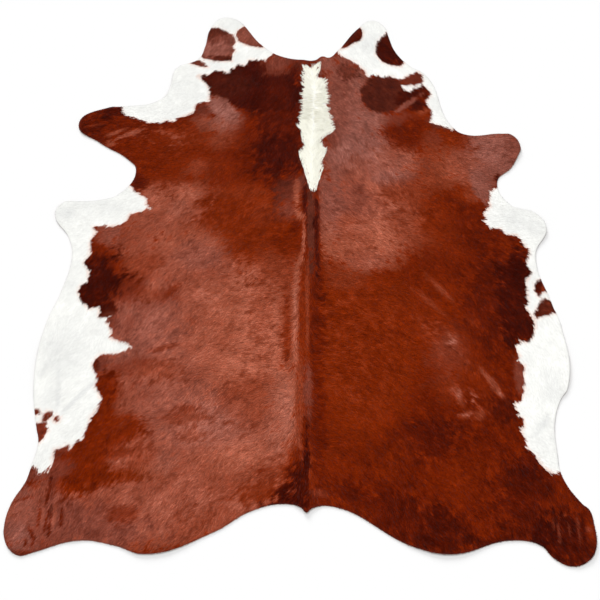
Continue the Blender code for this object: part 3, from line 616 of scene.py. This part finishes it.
def underCoatMaterial():  # the skin between the roots, in the coat's own colours, darkened as painted shade under the hair
    material, tree, shader = newMaterial("under_coat", Roughness=0.7, Specular_IOR_Level=0.15)
    grain = tree.add("ShaderNodeTexNoise", {}, Vector=objectPlace(tree), Scale=150.0, Detail=3.0, out="Fac")
    edge = (tree.attribute("brown") + (grain - 0.5) * 0.008).step(-0.002, 0.002)
    tree.feed(shader.inputs["Base Color"], whiteColour(tree, 0.85).mix(brownColour(tree, 0.72), edge))
    bump = tree.add("ShaderNodeBump", {}, Strength=0.5, Distance=0.0006, Height=grain, out="Normal")
    tree.feed(shader.inputs["Normal"], bump)
    return material


def cutEdgeMaterial():  # the pale cut edge of the leather
    material, tree, shader = newMaterial("cut_edge", Roughness=0.75, Specular_IOR_Level=0.25)
    fibre = tree.add("ShaderNodeTexNoise", {}, Vector=objectPlace(tree), Scale=700.0, Detail=4.0, out="Fac")
    colour = tree.colour(fromScreen(214, 190, 176)).mix(fromScreen(240, 226, 214), fibre.step(0.3, 0.7))
    tree.feed(shader.inputs["Base Color"], colour)
    return material


def fleshSideMaterial():  # the suede underside, with its faint patches, veins and nap
    material, tree, shader = newMaterial("flesh_side", Specular_IOR_Level=0.2, Sheen_Weight=0.15,
                                         Sheen_Roughness=0.5)
    where = objectPlace(tree)
    nap = tree.add("ShaderNodeTexNoise", {}, Vector=where, Scale=620.0, Detail=3.0, out="Fac")
    patch = tree.add("ShaderNodeTexNoise", {}, Vector=where, Scale=7.0, Detail=4.0, Roughness=0.6, out="Fac")
    swerve = tree.add("ShaderNodeTexNoise", {}, Vector=where, Scale=9.0, out="Color") * 0.16
    vein = tree.add("ShaderNodeTexVoronoi", {"feature": "DISTANCE_TO_EDGE"}, Vector=where + swerve, Scale=5.5,
                    out="Distance")
    colour = tree.colour(fromScreen(186, 160, 136)).mix(fromScreen(214, 194, 172), patch.step(0.32, 0.68))
    colour = colour.mix(fromScreen(160, 130, 106), (1.0 - vein.step(0.0, 0.035)) * 0.35)
    tree.feed(shader.inputs["Base Color"], colour * (nap * 0.3 + 0.85))
    tree.feed(shader.inputs["Roughness"], nap * 0.16 + 0.78)
    bump = tree.add("ShaderNodeBump", {}, Strength=0.6, Distance=0.0005, Height=nap, out="Normal")
    tree.feed(shader.inputs["Normal"], bump)
    return material


skin = {
    "thickness": 0.002,       # the leather alone
    "coatThickness": 0.0045,  # leather and coat in the solid
    "rimStep": 0.008,         # from point to point of the mesh, along the rim
    "fieldStep": 0.0155,
    "lineStep": 0.010,        # along the edges of the markings
    "rings": (0.0035, 0.010),  # two rings of points inside the rim
    # least gap of the points and least distance to the rim: on the rings, on the markings, in the field
    "gaps": ((0.0030, 0.0032), (0.0055, 0.009), (0.0065, 0.010), (0.0105, 0.012)),
    "unevenness": 0.0009,     # soft, wide hollows in the leather
    "smoothing": 8,
}


def solidRim():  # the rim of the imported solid, from its merged copy, as a ring in plan
    mesh = bmesh.new()
    mesh.from_mesh(hideNode.data)
    bmesh.ops.remove_doubles(mesh, verts=mesh.verts, dist=0.00002)
    edges = [edge for edge in mesh.edges
             if sum(face.normal.z < -0.5 for face in edge.link_faces) == 1 and len(edge.link_faces) == 2
             and any(face.normal.z >= -0.5 for face in edge.link_faces)]
    follow = {}
    for edge in edges:
        a, b = edge.verts
        follow.setdefault(a.index, []).append(b.index)
        follow.setdefault(b.index, []).append(a.index)
    mesh.verts.ensure_lookup_table()
    start = edges[0].verts[0].index
    ring, before = [start], None
    while True:
        step = [place for place in follow[ring[-1]] if place != before]
        before = ring[-1]
        if step[0] == start or len(ring) > len(follow):
            break
        ring.append(step[0])
    assert len(ring) == len(follow), (len(ring), len(follow))
    points = np.array([mesh.verts[place].co.xy for place in ring])
    tops = [face for face in mesh.faces if face.normal.z > 0.5]
    surface = BVHTree.FromPolygons([vert.co[:] for vert in mesh.verts],
                                   [[vert.index for vert in face.verts] for face in tops])
    mesh.free()
    area = np.sum(points[:, 0] * np.roll(points[:, 1], -1) - points[:, 1] * np.roll(points[:, 0], -1)) / 2
    return (points if area > 0 else points[::-1]), surface, abs(area)


def atDistances(wanted, along, path):
    return np.stack((np.interp(wanted, along, path[:, 0]), np.interp(wanted, along, path[:, 1])), axis=1)


def roundedRim(ring):  # a smooth closed curve through the ring, stepped evenly
    before, after, beyond = np.roll(ring, 1, axis=0), np.roll(ring, -1, axis=0), np.roll(ring, -2, axis=0)
    pieces = []
    for share in np.linspace(0.0, 1.0, 8, endpoint=False):
        pieces.append(0.5 * (2 * ring + (after - before) * share
                             + (2 * before - 5 * ring + 4 * after - beyond) * share ** 2
                             + (3 * ring - before - 3 * after + beyond) * share ** 3))
    curve = np.stack(pieces, axis=1).reshape(-1, 2)
    runs = np.hypot(*(np.roll(curve, -1, axis=0) - curve).T)
    along = np.concatenate(([0.0], np.cumsum(runs)))
    wanted = np.linspace(0.0, along[-1], round(along[-1] / skin["rimStep"]), endpoint=False)
    return atDistances(wanted, along, np.vstack((curve, curve[:1])))


def inwards(ring):  # unit vectors into the hide
    run = unit(np.roll(ring, -1, axis=0) - np.roll(ring, 1, axis=0))
    return np.stack((-run[:, 1], run[:, 0]), axis=1)


def spread(points, others, gap):  # drops the points that are too near the others
    grid = {}
    for x, y in others:
        grid.setdefault((int(x // gap), int(y // gap)), []).append((x, y))
    kept = []
    for x, y in points:
        cell = (int(x // gap), int(y // gap))
        near = [q for i in (-1, 0, 1) for j in (-1, 0, 1) for q in grid.get((cell[0] + i, cell[1] + j), ())]
        if all((x - u) ** 2 + (y - v) ** 2 > gap * gap for u, v in near):
            kept.append((x, y))
            grid.setdefault(cell, []).append((x, y))
    return np.array(kept).reshape(-1, 2)


def evenly(path, step, closed=False):
    path = np.vstack((path, path[:1])) if closed else path
    along = np.concatenate(([0.0], np.cumsum(np.hypot(*np.diff(path, axis=0).T))))
    return atDistances(np.arange(0.0, along[-1], step), along, path)


def sheetPoints(rim):
    inside, step = inwards(rim), skin["fieldStep"]
    groups = [rim + inside * gap for gap in skin["rings"]]
    lines = [evenly(edge, skin["lineStep"]) for edge in bodyEdges]
    lines += [evenly(spot, skin["lineStep"], closed=True) for spot in (*brownSpots, blazeOutline)]
    low, high = rim.min(axis=0), rim.max(axis=0)
    field = [(across, along) for number, along in enumerate(np.arange(low[1], high[1], step * math.sqrt(3) / 2))
             for across in np.arange(low[0] + step / 2 * (number % 2), high[0], step)]
    kept = rim
    for group, (gap, margin) in zip((*groups, np.vstack(lines), np.array(field)), skin["gaps"]):
        group = group[isInside(group, rim)]
        distance, _ = distanceTo(group, rim, closed=True)
        kept = np.vstack((kept, spread(group[distance > margin], kept, gap)))
    return kept


def heights(points, surface):  # of the underside, from the solid's upper face
    found = np.zeros(len(points))
    for number, (x, y) in enumerate(points):
        hit = surface.ray_cast(Vector((x, y, 0.2)), Vector((0.0, 0.0, -1.0)))[0]
        if hit is None:
            hit = surface.find_nearest(Vector((x, y, 0.005)))[0]
        found[number] = hit.z
    return np.maximum(found - skin["coatThickness"], 0.0)


def smoothed(values, faces, times):
    edges = np.vstack((faces[:, :2], faces[:, 1:], faces[:, ::2]))
    for _ in range(times):
        total, count = np.zeros(len(values)), np.zeros(len(values))
        for a, b in ((0, 1), (1, 0)):
            np.add.at(total, edges[:, a], values[edges[:, b]])
            np.add.at(count, edges[:, a], 1.0)
        values = 0.5 * values + 0.5 * total / count
    return values


def newPiece(name, mesh, *materials):
    for material in materials:
        mesh.materials.append(material)
    piece = bpy.data.objects.new(name, mesh)
    bpy.context.scene.collection.objects.link(piece)
    return piece


def addAttribute(mesh, name, values):
    kind = "FLOAT" if values.ndim == 1 else "FLOAT_VECTOR"
    layer = mesh.attributes.new(name, kind, "POINT")
    flatValues = np.ascontiguousarray(values, np.float32).ravel()
    layer.data.foreach_set("value" if kind == "FLOAT" else "vector", flatValues)


def greyOfWhite(points):  # faint grey shading in the white
    cloud = 0.4 * cloudNoise(points, 0.11, 31) + 0.35 * cloudNoise(points, 0.035, 32)
    cloud = cloud + 0.25 * cloudNoise(points, 0.014, 33)
    grey = 0.05 + 0.06 * cloud
    for ellipse in whiteHollows:
        grey = grey + ellipseWeight(points, 0.25 * cloud, *ellipse)
    return np.clip(grey, 0.0, 1.0)


def blushOfWhite(depth):  # the white turns pink next to the brown
    return 0.75 * softStep(depth, -0.009, -0.001)


solidRing, solidTop, hideArea = solidRim()
rim = roundedRim(solidRing)
flat = sheetPoints(rim)
rimLoop = [list(range(len(rim)))]
corners, _, triangles, *_ = delaunay_2d_cdt([Vector(place) for place in flat], [], rimLoop, 1, 1e-7)
flat = np.array([corner[:] for corner in corners])
faces = np.array(triangles)
print("sheet points:", len(flat), "triangles:", len(faces), "area:", round(hideArea, 3))

underside = smoothed(heights(flat, solidTop), faces, skin["smoothing"])
hollows = 0.5 + 0.5 * (0.6 * cloudNoise(flat, 0.13, 41) + 0.4 * cloudNoise(flat, 0.06, 42))
underside = underside + skin["unevenness"] * np.clip(hollows, 0.0, 1.0)
lie = lieOfHair(flat)
tones, shade = coatTones(flat, lie)


def skinMesh():
    count = len(flat)
    top = np.column_stack((flat, underside + skin["thickness"]))
    bottom = np.column_stack((flat, underside))
    ring = np.arange(len(rim))
    after = np.roll(ring, -1)
    upper = faces.tolist()
    lower = (faces[:, ::-1] + count).tolist()
    wall = np.column_stack((ring + count, after + count, after, ring)).tolist()
    mesh = bpy.data.meshes.new("hideSkin")
    mesh.from_pydata(np.vstack((top, bottom)).tolist(), [], upper + lower + wall)
    slots = np.repeat((0, 2, 1), (len(upper), len(lower), len(wall)))
    mesh.polygons.foreach_set("material_index", slots.astype(np.int32))
    mesh.polygons.foreach_set("use_smooth", slots != 1)
    depth = brownDepth(flat)
    for name, values in (*tones.items(), ("shade", shade), ("grey", greyOfWhite(flat)),
                         ("blush", blushOfWhite(depth)), ("brown", depth)):
        addAttribute(mesh, name, np.concatenate((values, values)))
    mesh.update()
    return mesh


hideSkin = newPiece("hideSkin", skinMesh(), underCoatMaterial(), cutEdgeMaterial(), fleshSideMaterial())
print("skin laid:", len(hideSkin.data.polygons), "faces")

coat = {
    "spacing": 0.0044,        # from root to root
    "scatter": 0.38,          # of the roots, as a share of that
    "rootsToRim": 0.0030,     # the roots stay this far inside
    "length": 0.0155,
    "width": 0.0040,
    "lift": 9.0,              # degrees that a lock stands off the leather
    "bareRim": 0.0028,        # the long hair ends this far from the rim
    "unevenShade": 0.12,      # from lock to lock, a little less in the deep coat
    "unevenGlow": 0.045,
    "unevenSize": 0.25,
    "unevenTurn": 0.12,       # radians in plan
    "unevenLift": 3.0,        # degrees
    "colourAt": 0.45,         # where along a lock its colour is read
    "bands": ("Rump", "Loin", "Back", "Shoulder", "Neck"),  # the brown coat's pieces, from the tail on
    "rimSpacing": 0.0030,     # the short hair along the rim, darkened as painted shade
    "rimInset": 0.0038,
    "rimLength": 0.0056,
    "rimPaintedShade": 0.72,
    "rimLift": 2.0,
    "whiteThickness": 0.5,    # the white coat lies flatter and smoother
}


def doubleArea(a, b, c):
    return (b[:, 0] - a[:, 0]) * (c[:, 1] - a[:, 1]) - (b[:, 1] - a[:, 1]) * (c[:, 0] - a[:, 0])


def surfaceAt(points):  # place on the leather's upper side and its normal
    top = np.column_stack((flat, underside + skin["thickness"]))
    tree = BVHTree.FromPolygons(top.tolist(), faces.tolist())
    a, b, c = (top[faces[:, corner]] for corner in range(3))
    cross = np.cross(b - a, c - a)
    normals = np.zeros_like(top)
    for corner in range(3):
        np.add.at(normals, faces[:, corner], cross)
    normals = unit(normals)
    places, ups = np.zeros((len(points), 3)), np.zeros((len(points), 3))
    face = np.full(len(points), -1)
    for number, (x, y) in enumerate(points.tolist()):
        hit, _, index, _ = tree.ray_cast(Vector((x, y, 0.2)), Vector((0.0, 0.0, -1.0)))
        if hit is not None:
            places[number], face[number] = hit, index
    found = face >= 0
    own = faces[face[found]]
    a, b, c = (top[own[:, corner]] for corner in range(3))
    q = places[found]
    whole = doubleArea(a, b, c)
    shares = [doubleArea(q, b, c) / whole, doubleArea(a, q, c) / whole, doubleArea(a, b, q) / whole]
    ups[found] = unit(sum(share[:, None] * normals[own[:, corner]] for corner, share in enumerate(shares)))
    return places, ups, found


def scattered(ring, rng, step, rowStep, shift, scatter):  # rows of points over a ring's box, unevenly
    low, high = ring.min(axis=0), ring.max(axis=0)
    grid = np.stack(np.meshgrid(np.arange(low[0], high[0], step), np.arange(low[1], high[1], rowStep)), axis=-1)
    grid[1::2, :, 0] += shift
    return grid.reshape(-1, 2) + rng.uniform(-scatter, scatter, (grid.size // 2, 2)) * step


def coatRoots(rng):
    step = coat["spacing"]
    roots = scattered(rim, rng, step, step * math.sqrt(3) / 2, step / 2, coat["scatter"])
    roots = roots[isInside(roots, rim)]
    distance, way = distanceTo(roots, rim, closed=True)
    keep = distance > coat["rootsToRim"]
    return roots[keep], distance[keep], way[keep] / distance[keep][:, None]


def lockShape(name, rings):  # a tapered closed lock along +Y, one unit long and wide
    mesh = bpy.data.meshes.new(name)
    points, sides = [], []
    for along, width, height, rise in rings:
        points += [(-width / 2, along, rise), (width / 2, along, rise), (0.0, along, rise + height)]
    points.append((0.0, 1.0, rings[-1][3] * 0.4))
    tip = len(points) - 1
    sides.append((0, 1, 2))
    for ring in range(len(rings) - 1):
        for corner in range(3):
            a, b = 3 * ring + corner, 3 * ring + (corner + 1) % 3
            sides += [(a, b + 3, b), (a, a + 3, b + 3)]
    last = 3 * (len(rings) - 1)
    sides += [(last + corner, tip, last + (corner + 1) % 3) for corner in range(3)]
    mesh.from_pydata(points, [], sides)
    shape = bmesh.new()
    shape.from_mesh(mesh)
    bmesh.ops.recalc_face_normals(shape, faces=shape.faces)
    shape.to_mesh(mesh)
    shape.free()
    addAttribute(mesh, "along", np.array([place[1] for place in points]))
    lock = bpy.data.objects.new(name, mesh)
    bpy.context.scene.collection.objects.link(lock)
    return lock


def lockTree(lock):  # instances of one lock on the roots, made real
    group = bpy.data.node_groups.new("layLocks", "GeometryNodeTree")
    for name, kind in (("Geometry", "Geometry"), ("Map Low", "Vector"), ("Map Size", "Vector"),
                       ("Thickness", "Float"), ("Material", "Material")):
        group.interface.new_socket(name, in_out="INPUT", socket_type="NodeSocket" + kind)
    group.interface.new_socket("Geometry", in_out="OUTPUT", socket_type="NodeSocketGeometry")
    tree = Tree(group)
    entry = group.nodes.new("NodeGroupInput")
    given = {socket.name: Wire(tree, socket) for socket in entry.outputs if socket.name}

    def named(name, kind="FLOAT_VECTOR"):
        return tree.add("GeometryNodeInputNamedAttribute", {"data_type": kind}, name, out="Attribute")

    turn = tree.add("FunctionNodeAxesToRotation", {"primary_axis": "Y", "secondary_axis": "Z"},
                    **{"Primary Axis": named("lie"), "Secondary Axis": named("up")})
    size = tree.add("ShaderNodeCombineXYZ", {}, named("width", "FLOAT"), named("length", "FLOAT"),
                    named("width", "FLOAT") * given["Thickness"])
    shape = tree.add("GeometryNodeObjectInfo", {}, lock, out="Geometry")
    locks = tree.add("GeometryNodeInstanceOnPoints", {}, given["Geometry"], Instance=shape, Rotation=turn,
                     Scale=size)
    locks = tree.add("GeometryNodeRealizeInstances", {}, locks)
    root = named("root")
    near = root + (tree.add("GeometryNodeInputPosition", {}) - root) * 0.09  # a lock's own bit of the map
    onMap = (near - given["Map Low"]) / given["Map Size"]
    locks = tree.add("GeometryNodeStoreNamedAttribute", {"data_type": "FLOAT2", "domain": "CORNER"},
                     locks, Name="OFBake", Value=onMap)
    locks = tree.add("GeometryNodeSetMaterial", {}, locks, Material=given["Material"])
    leave = group.nodes.new("NodeGroupOutput")
    group.links.new(locks.socket, leave.inputs[0])
    return group


def layLocks(name, lock, fields, thickness, material):  # fields: attribute name to an array over the roots
    mesh = bpy.data.meshes.new(name + "Roots")
    roots = fields["root"]
    mesh.from_pydata(roots.tolist(), [], [])
    for field, values in fields.items():
        addAttribute(mesh, field, values)
    guide = newPiece(name + "Roots", mesh)
    group = lockTree(lock)
    modifier = guide.modifiers.new("layLocks", "NODES")
    modifier.node_group = group
    low, size = roots.min(axis=0) - 0.004, np.ptp(roots, axis=0) + 0.008
    values = {"Map Low": tuple(low), "Map Size": (size[0], size[1], 1.0), "Thickness": thickness,
              "Material": material}
    for item in group.interface.items_tree:
        if item.in_out == "INPUT" and item.name in values:
            modifier[item.identifier] = values[item.name]
    bpy.context.view_layer.update()
    graph = bpy.context.evaluated_depsgraph_get()
    made = bpy.data.meshes.new_from_object(guide.evaluated_get(graph), depsgraph=graph)
    made.name = name
    guide.modifiers.remove(modifier)
    for spare in ("lie", "up", "width", "length", "root"):
        if spare in made.attributes:
            made.attributes.remove(made.attributes[spare])
    bpy.data.objects.remove(guide)
    made.materials.clear()
    piece = newPiece(name, made, material)
    print(name, "locks:", len(roots), "faces:", len(made.polygons))
    return piece


def leaning(lieFlat, ups, degrees):  # the lie turned into the surface, then lifted off it
    lie = np.column_stack((lieFlat, np.zeros(len(lieFlat))))
    lie = unit(lie - np.sum(lie * ups, axis=1)[:, None] * ups)
    lift = np.radians(degrees)[:, None]
    return lie * np.cos(lift) + ups * np.sin(lift)


def rimRoots(rng):  # roots along the rim and the way that its short hair points
    ring = evenly(rim, coat["rimSpacing"], closed=True)
    inside = inwards(ring)
    roots = ring + inside * (coat["rimInset"] + rng.normal(0.0, 0.0003, len(ring)))[:, None]
    return roots, unit(lieOfHair(roots) * 0.55 - inside)


rng = np.random.default_rng(5)
roots, rootRim, wayOut = coatRoots(rng)
edgeRoots, edgeLie = rimRoots(rng)
isEdge = np.arange(len(roots) + len(edgeRoots)) >= len(roots)
rootLie = np.vstack((lieOfHair(roots), edgeLie))
roots = np.vstack((roots, edgeRoots))
outwards = np.concatenate((np.sum(wayOut * rootLie[~isEdge], axis=1), np.zeros(len(edgeRoots))))
rootRim = np.concatenate((rootRim, np.full(len(edgeRoots), coat["rimInset"])))
places, ups, found = surfaceAt(roots)
roots, rootLie, rootRim, outwards, isEdge, places, ups = (
    part[found] for part in (roots, rootLie, rootRim, outwards, isEdge, places, ups))
reach = np.where(isEdge, coat["rimLength"], coat["length"])
middleOfLock = roots + rootLie * reach[:, None] * coat["colourAt"]
tuft = combedNoise(middleOfLock, rootLie, coatLook["edgeTuft"], coatLook["tuftReach"], 51)
wander = tuft * coatLook["edgeWander"] + rng.normal(0.0, coatLook["strayHair"], len(roots))
isBrown = brownDepth(middleOfLock, wander) > 0.0
rootTones, rootShade = coatTones(middleOfLock, rootLie)
liveliness = 0.75 + 0.25 * softStep(rootTones["glow"], 0.45, 0.8)
rootTones["glow"] += liveliness * rng.normal(0.0, coat["unevenGlow"], len(roots))
rootTones["glow"] = np.clip(rootTones["glow"], 0.0, 1.0)
rootShade *= 1.0 + liveliness * rng.normal(0.0, coat["unevenShade"], len(roots))
# painted shade at the rim: the rim's hair and the coat within about 13 mm of it are darker
rootShade *= np.where(isEdge, coat["rimPaintedShade"], 0.85 + 0.15 * softStep(rootRim, 0.003, 0.013))
room = np.where(outwards > 0.05, (rootRim - coat["bareRim"]) / np.maximum(outwards, 0.05), 1.0)
least, most = 1.0 - coat["unevenSize"], 1.0 + coat["unevenSize"]
length = np.minimum(reach * rng.uniform(least, most, len(roots)), np.maximum(room, 0.003))
yaw = rng.normal(0.0, coat["unevenTurn"], len(roots))
calm = np.where(isBrown, 1.0, coat["whiteThickness"])
lift = np.where(isEdge, coat["rimLift"], coat["lift"] * calm)
lift = lift + calm * rng.normal(0.0, coat["unevenLift"], len(roots))
# on the white, the rim's hair takes the shadowed white in full, a painted shade
fields = {"root": places - ups * 0.0004, "lie": leaning(turned(rootLie, yaw), ups, lift), "up": ups,
          "length": length, "width": coat["width"] * rng.uniform(least, most, len(roots)), "shade": rootShade,
          **rootTones, "grey": np.where(isEdge, 1.0, greyOfWhite(roots)),
          "blush": blushOfWhite(brownDepth(middleOfLock))}
print("roots:", len(roots), "brown:", int(isBrown.sum()))

shortLock = lockShape("shortLock", ((0.0, 1.0, 0.24, -0.05),))
brownCoat, whiteCoat = brownCoatMaterial(), whiteCoatMaterial()
limits = np.quantile(roots[isBrown, 1], np.linspace(0.0, 1.0, len(coat["bands"]) + 1))
limits[-1] += 1.0  # the last band takes in its own end
coatPieces = []
for low, high, band in zip(limits, limits[1:], coat["bands"]):
    chosen = isBrown & (roots[:, 1] >= low) & (roots[:, 1] < high)
    used = {field: values[chosen] for field, values in fields.items() if field not in ("grey", "blush")}
    coatPieces.append(layLocks("brownCoat" + band, shortLock, used, 1.0, brownCoat))
used = {field: values[~isBrown] for field, values in fields.items() if field not in rootTones}
whitePiece = layLocks("whiteCoat", shortLock, used, coat["whiteThickness"], whiteCoat)

mane = {
    "spacing": 0.0024,
    "length": 0.036,
    "width": 0.0017,
    "lift": 5.0,
    "tuft": 0.0105,           # the strands gather in tufts of this size
    "crossing": 0.20,         # the roots reach this share back over the parting
    "gather": 0.65,           # and this far towards the tuft's tip
    "overlap": 0.0055,        # how far the tips may pass the blaze's edge
    "partLine": outline(58, 740, 53, 662, 50, 604),  # the shaded stretch of the parting
}
# How the mane lies: place along the spine in millimetres, degrees up from straight out on the left and right.
maneLie = (
    (932, 74, 70), (871, 60, 58), (820, 48, 46), (780, 34, 32), (740, 14, 12), (701, -10, -10),
    (662, -22, -20), (633, -8, -14), (609, 34, 8), (575, 50, 25), (541, 58, 40), (504, 60, 50),
    (452, 62, 56), (387, 68, 60), (341, 72, 66), (314, 76, 70), (287, 80, 76),
)


def onBlaze(step, rng):  # uneven points over the blaze
    points = scattered(blazeOutline, rng, step, step, 0.0, 0.5)
    return points[(depthInside(points, blazeOutline) > 0.001) & isInside(points, rim)]


def lieOfMane(points):
    places, left, right = np.array(maneLie).T
    leftUp, rightUp = (np.interp(-points[:, 1], -places / 1000, turns) for turns in (left, right))
    side = softStep(acrossFrom(manePart, points), -0.0015, 0.0015)
    up = leftUp * (1.0 - side) + rightUp * side
    up = np.radians(up + 10.0 * cloudNoise(points, 0.020, 61) + 6.0 * cloudNoise(points, 0.007, 63))
    return unit(np.stack((np.cos(up) * (2.0 * side - 1.0), np.sin(up)), axis=1))


def maneFields():
    rng = np.random.default_rng(8)
    tufts = onBlaze(mane["tuft"], rng)
    reach = mane["length"] * rng.uniform(0.6, 1.15, len(tufts))
    tuftTips = tufts + lieOfMane(tufts) * reach[:, None]
    kept = depthInside(tuftTips, blazeOutline) > -mane["overlap"] * rng.uniform(0.0, 1.0, len(tufts))
    tufts, tuftTips, reach = tufts[kept], tuftTips[kept], reach[kept]
    points = onBlaze(mane["spacing"], rng)
    gaps = np.hypot(points[:, :1] - tufts[:, 0], points[:, 1:] - tufts[:, 1])
    mine = gaps.argmin(axis=1)
    near = gaps.min(axis=1) < 0.9 * mane["tuft"]
    drawn = np.clip(rng.normal(mane["gather"], 0.2, len(points)), 0.0, 1.0)[:, None]
    ownTips = points + lieOfMane(points) * (reach[mine] * rng.uniform(0.55, 1.15, len(points)))[:, None]
    tips = ownTips * (1.0 - drawn) + tuftTips[mine] * drawn
    reachOut = 2.0 * mane["overlap"] * rng.uniform(0.0, 1.0, len(points)) ** 2
    kept = near & (depthInside(tips, blazeOutline) > 0.001 - reachOut)
    points, tips, mine = points[kept], tips[kept], mine[kept]
    points = points - (tips - points) * mane["crossing"]
    run = tips - points
    length = np.maximum(np.hypot(*run.T), 0.004)
    places, ups, found = surfaceAt(points)
    fromPart, _ = distanceTo(points, mane["partLine"])
    # painted shade along the parting, with random grey from strand to strand and tuft to tuft
    grey = 0.45 * (1.0 - softStep(fromPart, 0.002, 0.008)) + 0.08 * cloudNoise(points, 0.016, 62)
    grey += rng.uniform(-0.12, 0.18, len(points)) + rng.uniform(-0.12, 0.12, len(tufts))[mine]
    grey = np.clip(grey, 0.0, 1.0)
    lie = leaning((run / length[:, None])[found], ups[found], mane["lift"] + rng.normal(0.0, 2.0, found.sum()))
    return {"root": (places - ups * 0.0006)[found], "lie": lie, "up": ups[found], "length": length[found],
            "width": mane["width"] * rng.uniform(0.7, 1.2, found.sum()), "grey": grey[found]}


longLock = lockShape("longLock", ((0.0, 0.8, 0.3, -0.05), (0.32, 1.0, 0.34, 0.12)))
manePiece = layLocks("maneBlaze", longLock, maneFields(), 1.0, maneMaterial())
for spare in (shortLock, longLock):
    bpy.data.objects.remove(spare)

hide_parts("hide")
for piece in (hideSkin, whitePiece, manePiece, *coatPieces):
    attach(piece, "root")

studio = {
    "floor": (0.685, 0.685, 0.685),
    "ambient": 0.70,
    "sun": (1.6, (-0.20, 0.40, 1.0), 30.0),        # strength, where it comes from, softness in degrees
    "floorSun": (2.9, (-0.30, 0.92, 0.33), 18.0),  # low, on the floor alone, for the soft shadow
    "camera": (0.001, -1.746, 3.37),
    "lens": 60.58,
    "tilt": 25.0,             # degrees from straight down
}


def makeFloor():
    mesh = bpy.data.meshes.new("floor")
    reach, down = 12.0, -0.0004  # just under the leather
    corners = [(x * reach, y * reach, down) for x, y in ((-1, -1), (1, -1), (1, 1), (-1, 1))]
    mesh.from_pydata(corners, [], [(0, 1, 2, 3)])
    material, _, _ = newMaterial("floor", Base_Color=studio["floor"], Roughness=0.8, Specular_IOR_Level=0.0)
    floor = newPiece("floor", mesh, material)
    return floor


def makeSun(name):
    strength, comesFrom, softness = studio[name]
    sun = bpy.data.lights.new(name, "SUN")
    sun.energy = strength
    sun.angle = math.radians(softness)
    lamp = bpy.data.objects.new(name, sun)
    lamp.rotation_euler = Vector(comesFrom).to_track_quat("Z", "Y").to_euler()
    bpy.context.scene.collection.objects.link(lamp)
    return lamp


def makeLight(floor):
    scene = bpy.context.scene
    world = bpy.data.worlds.new("studio")
    world.use_nodes = True
    background = world.node_tree.nodes["Background"]
    background.inputs["Color"].default_value = (1.0, 1.0, 1.0, 1.0)
    background.inputs["Strength"].default_value = studio["ambient"]
    scene.world = world
    makeSun("sun")
    lit = bpy.data.collections.new("lit by the low sun")
    lit.objects.link(floor)
    makeSun("floorSun").light_linking.receiver_collection = lit
    scene.view_settings.view_transform = "Standard"
    scene.view_settings.look = "None"


def makeCamera():
    lens = bpy.data.cameras.new("camera")
    lens.lens = studio["lens"]
    lens.sensor_width = 36.0
    camera = bpy.data.objects.new("camera", lens)
    camera.location = studio["camera"]
    camera.rotation_euler = (math.radians(studio["tilt"]), 0.0, 0.0)
    bpy.context.scene.collection.objects.link(camera)
    bpy.context.scene.camera = camera


makeLight(makeFloor())
makeCamera()
